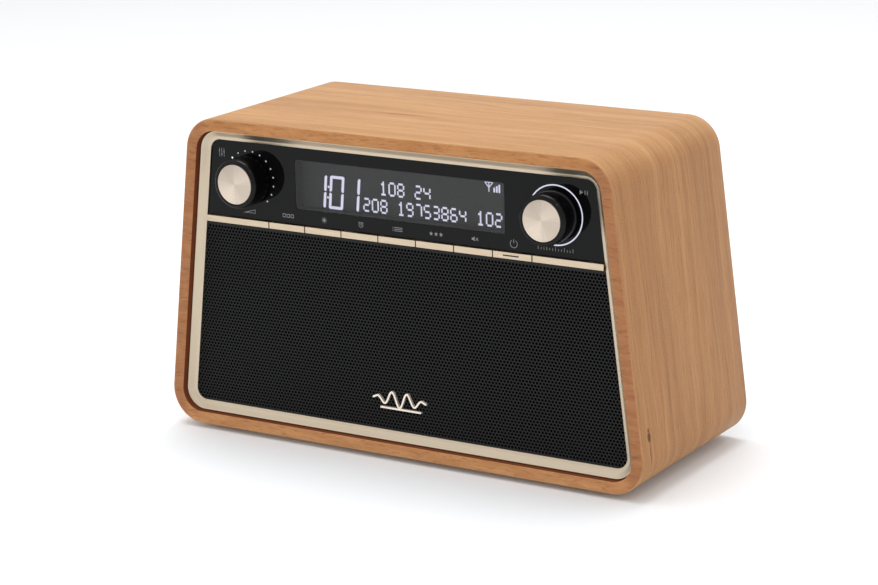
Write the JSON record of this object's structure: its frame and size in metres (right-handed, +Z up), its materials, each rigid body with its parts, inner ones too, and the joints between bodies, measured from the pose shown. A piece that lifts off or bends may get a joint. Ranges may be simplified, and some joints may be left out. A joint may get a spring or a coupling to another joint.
{
  "type": "tabletop radio",
  "caption": "Tabletop radio: tapered wooden sleeve, metal bezel, glossy display panel with two push knobs and a row of bar keys, perforated speaker grille and telescopic aerial.",
  "frame": {"origin": "on the standing surface, under the middle of the radio's outer box", "axes": "+X to the right of someone facing the display, +Y from the front to the back, +Z up"},
  "size_m": [0.2628, 0.1244, 0.1575],
  "materials": {
    "walnut_veneer": "satin lacquered veneer, grain along the width and down the sides",
    "softwood": "planed, unfinished",
    "black_moulding": "fine spark-eroded texture",
    "champagne_metal": "satin brushed and anodised",
    "spun_cap": "spun-brushed in circles",
    "glossy_panel": "polished acrylic, back-printed black with a smoked window",
    "knob_black": "polished",
    "display": "dark liquid crystal display with pale segments",
    "light_guide": "diffusing light guide, lit",
    "dark_lens": "dark slot lens",
    "grille_metal": "perforated steel, satin black powder coat",
    "acoustic_cloth": "thin black acoustic cloth",
    "plated_steel": "zinc plated",
    "circuit_board": "solder resist over glass fibre",
    "switch_plastic": "moulded",
    "component_black": "moulded parts and sleeves",
    "cable_jacket": "flat cable",
    "lead_red": "twin lead",
    "speaker_steel": "pressed steel, black",
    "magnet_ferrite": "ferrite ring between steel plates",
    "cone_paper": "pressed paper",
    "surround_rubber": "thin half-round roll",
    "zinc_screws": "zinc plated",
    "black_screws": "blackened steel",
    "foot_rubber": "matt",
    "socket_plastic": "moulded",
    "chrome_plate": "bright plated"
  },
  "bodies": {
    "cabinet": {"cabinet_shell": "walnut_veneer", "corner_battens": "softwood", "rear_panel": "black_moulding", "front_chassis": "black_moulding", "bezel_frame": "champagne_metal", "fascia_panel": "glossy_panel", "display_module": "display", "speaker_grille": "grille_metal", "grille_cloth": "acoustic_cloth", "badge": "champagne_metal", "left_trim_bar": "champagne_metal", "right_trim_bar": "champagne_metal", "volume_encoder": "plated_steel", "volume_light_dots": "light_guide", "tuning_encoder": "plated_steel", "tuning_light_ring": "light_guide", "encoder_nuts": "plated_steel", "control_board": "circuit_board", "tact_switches": "switch_plastic", "ribbon_cable": "cable_jacket", "main_board": "circuit_board", "board_components": "component_black", "radio_module": "plated_steel", "speaker_leads": "lead_red", "left_speaker_basket": "speaker_steel", "left_speaker_magnet": "magnet_ferrite", "left_speaker_surround": "surround_rubber", "right_speaker_basket": "speaker_steel", "right_speaker_magnet": "magnet_ferrite", "right_speaker_surround": "surround_rubber", "inner_screws": "zinc_screws", "rear_screws": "black_screws", "feet": "foot_rubber", "dc_socket": "socket_plastic", "headphone_socket": "socket_plastic", "aux_socket": "socket_plastic"},
    "mode_key_body": {"mode_key": "champagne_metal"},
    "dimmer_key_body": {"dimmer_key": "champagne_metal"},
    "alarm_key_body": {"alarm_key": "champagne_metal"},
    "menu_key_body": {"menu_key": "champagne_metal"},
    "preset_key_body": {"preset_key": "champagne_metal"},
    "mute_key_body": {"mute_key": "champagne_metal"},
    "power_key_body": {"power_key": "champagne_metal", "power_key_lens": "dark_lens"},
    "volume_plunger": {"volume_push_pin": "plated_steel"},
    "volume_knob": {"volume_knob_body": "knob_black", "volume_knob_cap": "spun_cap", "volume_shaft": "plated_steel"},
    "tuning_plunger": {"tuning_push_pin": "plated_steel"},
    "tuning_knob": {"tuning_knob_body": "knob_black", "tuning_knob_cap": "spun_cap", "tuning_shaft": "plated_steel"},
    "left_cone": {"left_speaker_cone": "cone_paper"},
    "right_cone": {"right_speaker_cone": "cone_paper"},
    "aerial_swivel_body": {"aerial_base": "chrome_plate", "aerial_hinge_pin": "chrome_plate"},
    "aerial_tube_1": {"aerial_section_1": "chrome_plate"},
    "aerial_tube_2": {"aerial_section_2": "chrome_plate"},
    "aerial_tube_3": {"aerial_section_3": "chrome_plate"},
    "aerial_tube_4": {"aerial_section_4": "chrome_plate"}
  },
  "joints": [
    {"name": "mode_key_press", "type": "slide", "parent": "cabinet", "child": "mode_key_body", "axis": [0, 1, 0], "range_m": [0, 0.0007], "stiffness_N_per_m": 900, "springref_m": -0.0006},
    {"name": "dimmer_key_press", "type": "slide", "parent": "cabinet", "child": "dimmer_key_body", "axis": [0, 1, 0], "range_m": [0, 0.0007], "stiffness_N_per_m": 900, "springref_m": -0.0006},
    {"name": "alarm_key_press", "type": "slide", "parent": "cabinet", "child": "alarm_key_body", "axis": [0, 1, 0], "range_m": [0, 0.0007], "stiffness_N_per_m": 900, "springref_m": -0.0006},
    {"name": "menu_key_press", "type": "slide", "parent": "cabinet", "child": "menu_key_body", "axis": [0, 1, 0], "range_m": [0, 0.0007], "stiffness_N_per_m": 900, "springref_m": -0.0006},
    {"name": "preset_key_press", "type": "slide", "parent": "cabinet", "child": "preset_key_body", "axis": [0, 1, 0], "range_m": [0, 0.0007], "stiffness_N_per_m": 900, "springref_m": -0.0006},
    {"name": "mute_key_press", "type": "slide", "parent": "cabinet", "child": "mute_key_body", "axis": [0, 1, 0], "range_m": [0, 0.0007], "stiffness_N_per_m": 900, "springref_m": -0.0006},
    {"name": "power_key_press", "type": "slide", "parent": "cabinet", "child": "power_key_body", "axis": [0, 1, 0], "range_m": [0, 0.0007], "stiffness_N_per_m": 900, "springref_m": -0.0006},
    {"name": "volume_push", "type": "slide", "parent": "cabinet", "child": "volume_plunger", "axis": [0, 1, 0], "range_m": [0, 0.0006], "stiffness_N_per_m": 2000, "springref_m": -0.001},
    {"name": "volume_turn", "type": "hinge", "parent": "volume_plunger", "child": "volume_knob", "pos_m": [-0.084, -0.05535, 0.1282], "axis": [0, 1, 0], "continuous": true},
    {"name": "tuning_push", "type": "slide", "parent": "cabinet", "child": "tuning_plunger", "axis": [0, 1, 0], "range_m": [0, 0.0006], "stiffness_N_per_m": 2000, "springref_m": -0.001},
    {"name": "tuning_turn", "type": "hinge", "parent": "tuning_plunger", "child": "tuning_knob", "pos_m": [0.084, -0.05535, 0.1282], "axis": [0, 1, 0], "continuous": true},
    {"name": "left_cone_stroke", "type": "slide", "parent": "cabinet", "child": "left_cone", "axis": [0, -1, 0], "range_m": [-0.0015, 0.0015], "stiffness_N_per_m": 1500},
    {"name": "right_cone_stroke", "type": "slide", "parent": "cabinet", "child": "right_cone", "axis": [0, -1, 0], "range_m": [-0.0015, 0.0015], "stiffness_N_per_m": 1500},
    {"name": "aerial_swivel", "type": "hinge", "parent": "cabinet", "child": "aerial_swivel_body", "pos_m": [0.088, 0.05865, 0.1385], "axis": [0, 1, 0], "range_deg": [0, 180]},
    {"name": "aerial_tilt", "type": "hinge", "parent": "aerial_swivel_body", "child": "aerial_tube_1", "pos_m": [0.088, 0.05865, 0.1385], "axis": [0, 0, -1], "range_deg": [0, 90]},
    {"name": "aerial_slide_2", "type": "slide", "parent": "aerial_tube_1", "child": "aerial_tube_2", "axis": [-1, 0, 0], "range_m": [0, 0.14]},
    {"name": "aerial_slide_3", "type": "slide", "parent": "aerial_tube_2", "child": "aerial_tube_3", "axis": [-1, 0, 0], "range_m": [0, 0.14]},
    {"name": "aerial_slide_4", "type": "slide", "parent": "aerial_tube_3", "child": "aerial_tube_4", "axis": [-1, 0, 0], "range_m": [0, 0.14]}
  ]
}
